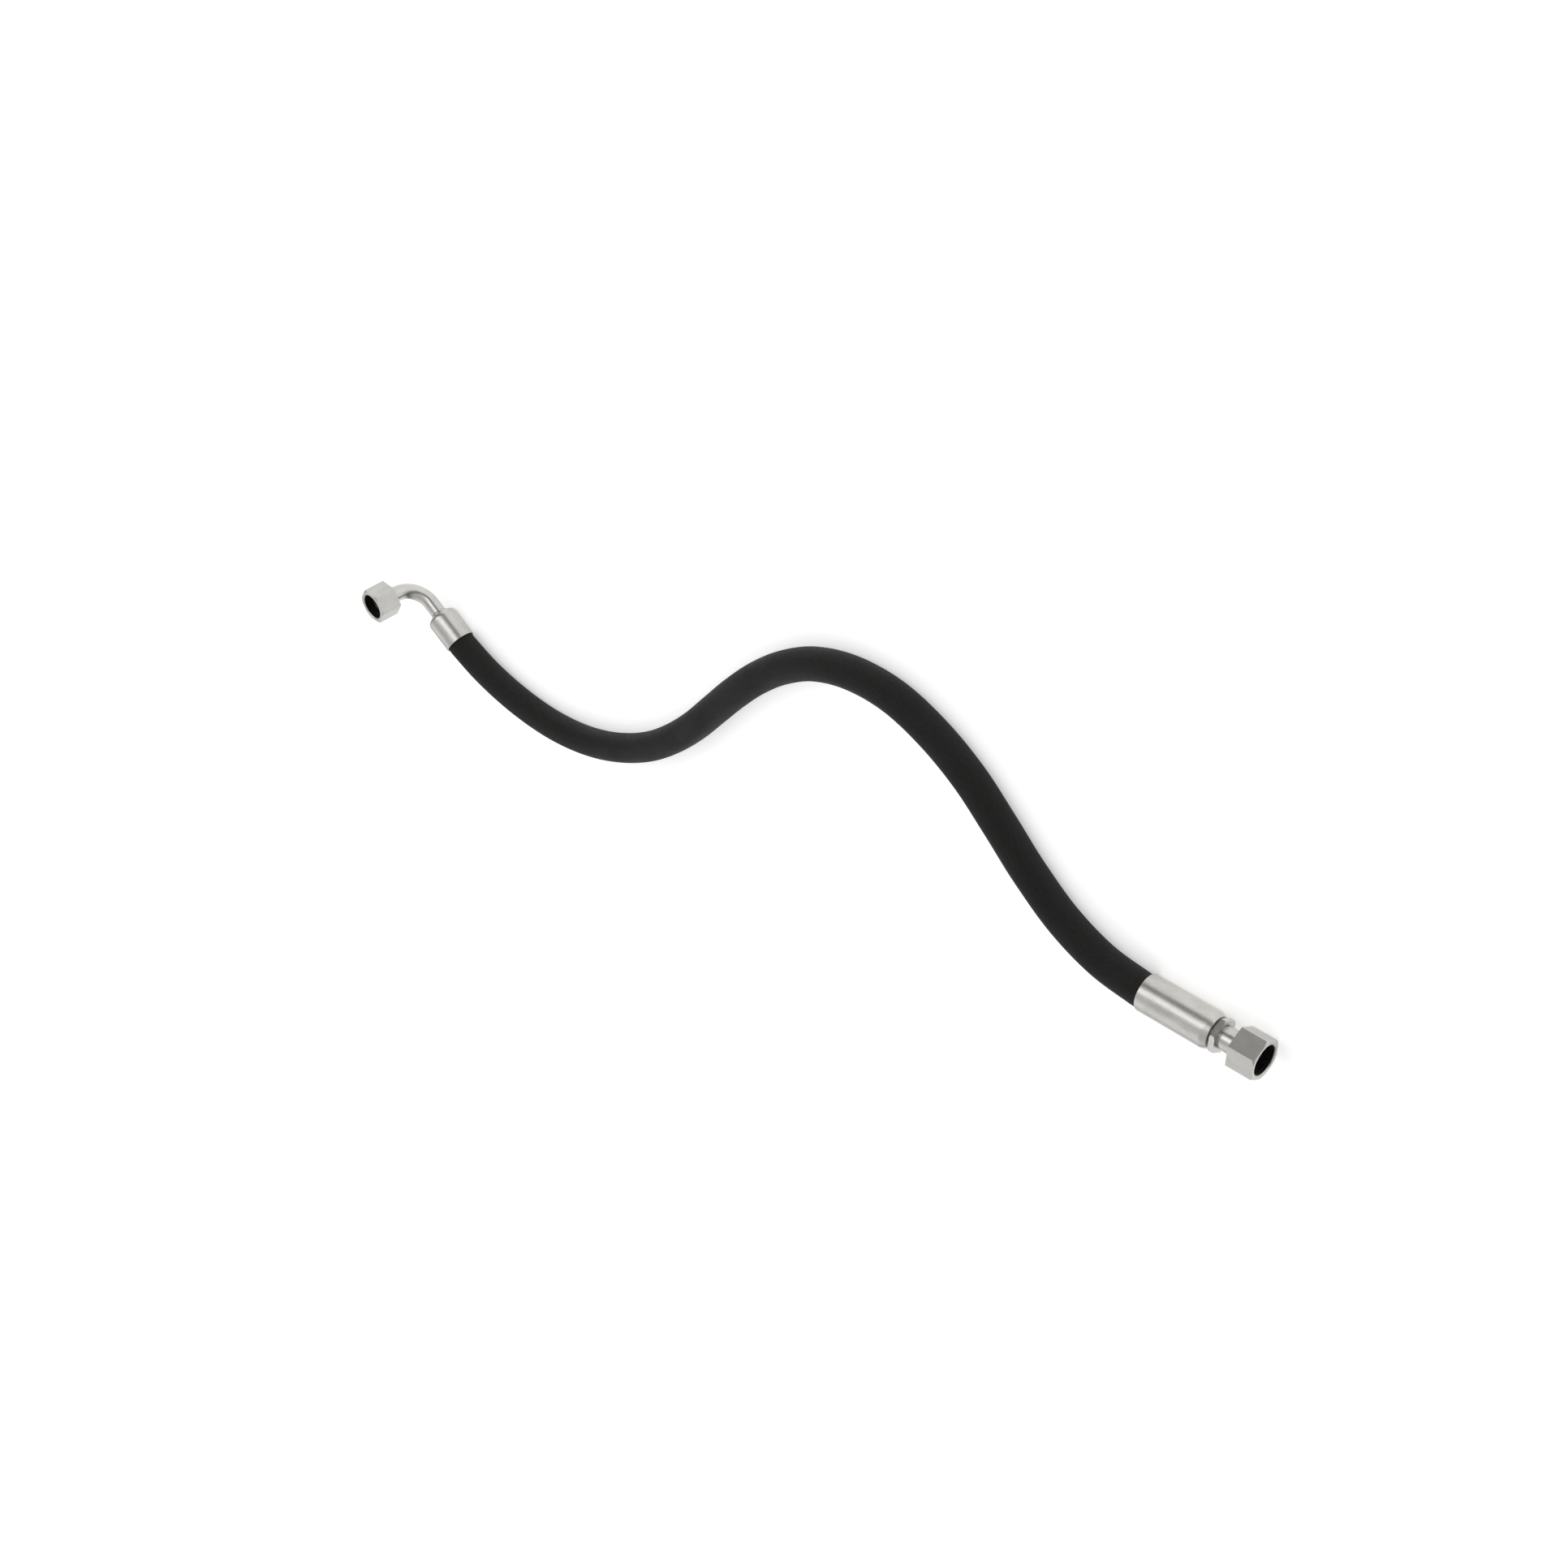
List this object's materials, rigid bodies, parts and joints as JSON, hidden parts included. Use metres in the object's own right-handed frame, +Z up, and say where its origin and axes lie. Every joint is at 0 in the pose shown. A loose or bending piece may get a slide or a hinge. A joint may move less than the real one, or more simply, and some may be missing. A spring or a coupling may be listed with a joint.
{
  "type": "hydraulic hose assembly",
  "caption": "Flexible high-pressure hydraulic hose with a crimped straight swivel-nut fitting at one end and a crimped right-angle swivel-nut elbow at the other.",
  "frame": {"origin": "centre of the bounding box in plan, on the surface that the hose lies on", "axes": "+X runs out of the straight end's nut along its axis, +Z is up and runs out of the elbow's nut along its axis, +Y completes a right-handed frame"},
  "size_m": [0.795, 0.2204, 0.0543],
  "materials": {
    "cover_rubber": "matt black synthetic rubber cover",
    "tube_rubber": "smooth black oil-resistant rubber",
    "skin_rubber": "thin black insulation rubber",
    "spiral_wire": "brass-coated high-tensile steel wire",
    "plated_ferrule": "satin zinc-nickel plate with fine lengthwise grain",
    "plated_fitting": "satin zinc-nickel plate, turned",
    "plated_nut": "satin zinc-nickel plate on bar-stock flats",
    "spring_wire": "plain drawn wire",
    "braze_alloy": "plated braze fillet",
    "seal_rubber": "smooth black nitrile"
  },
  "bodies": {
    "hose": {"hose_inner_tube": "tube_rubber", "hose_wire_spiral_1": "spiral_wire", "hose_rubber_skin_1": "skin_rubber", "hose_wire_spiral_2": "spiral_wire", "hose_rubber_skin_2": "skin_rubber", "hose_wire_spiral_3": "spiral_wire", "hose_rubber_skin_3": "skin_rubber", "hose_wire_spiral_4": "spiral_wire", "hose_cover": "cover_rubber", "straight_ferrule": "plated_ferrule", "straight_nipple": "plated_fitting", "straight_o_ring": "seal_rubber", "straight_thrust_wire": "spring_wire", "elbow_ferrule": "plated_ferrule", "elbow_tail_insert": "plated_fitting", "elbow_braze_ring": "braze_alloy", "elbow_tube": "plated_fitting", "elbow_cone_head": "plated_fitting", "elbow_o_ring": "seal_rubber"},
    "straight_nut": {"straight_swivel_nut": "plated_nut"},
    "elbow_nut": {"elbow_swivel_nut": "plated_nut"}
  },
  "joints": [
    {"name": "straight_nut_swivel", "type": "hinge", "parent": "hose", "child": "straight_nut", "pos_m": [0.39, -0.0199, 0.01258], "axis": [1, 0, 0], "continuous": true},
    {"name": "elbow_nut_swivel", "type": "hinge", "parent": "hose", "child": "elbow_nut", "pos_m": [-0.3837, -0.0353, 0.0463], "axis": [0, 0, 1], "continuous": true}
  ]
}
